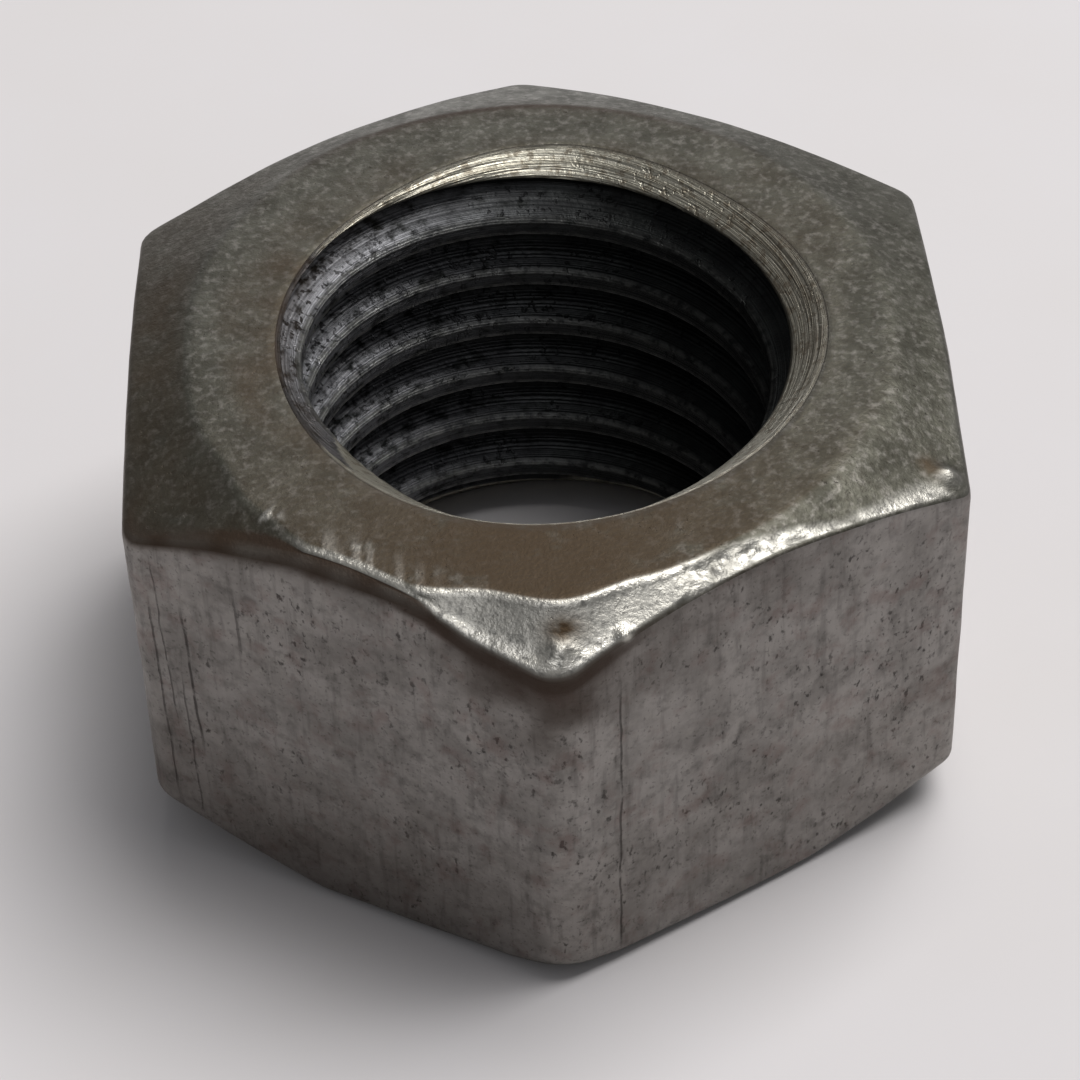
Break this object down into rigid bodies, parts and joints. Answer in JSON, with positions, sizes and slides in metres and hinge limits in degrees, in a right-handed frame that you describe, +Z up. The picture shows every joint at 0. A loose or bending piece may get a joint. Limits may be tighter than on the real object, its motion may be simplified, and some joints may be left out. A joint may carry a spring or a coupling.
{
  "type": "hex nut",
  "caption": "Hot-forged steel hexagon nut with both ends chamfered and countersunk and a coarse right-hand thread cut through it",
  "frame": {"origin": "centre of the lower bearing face, on the thread's axis", "axes": "+Z up the thread's axis; +Y and -Y through two opposite corners; +X and -X square to two opposite flats"},
  "size_m": [0.0382, 0.0436, 0.0218],
  "materials": {
    "forged_steel": "hot-forged and oiled, dark, with bright worn edges"
  },
  "bodies": {
    "root": {"hex_nut": "forged_steel"}
  },
  "joints": []
}
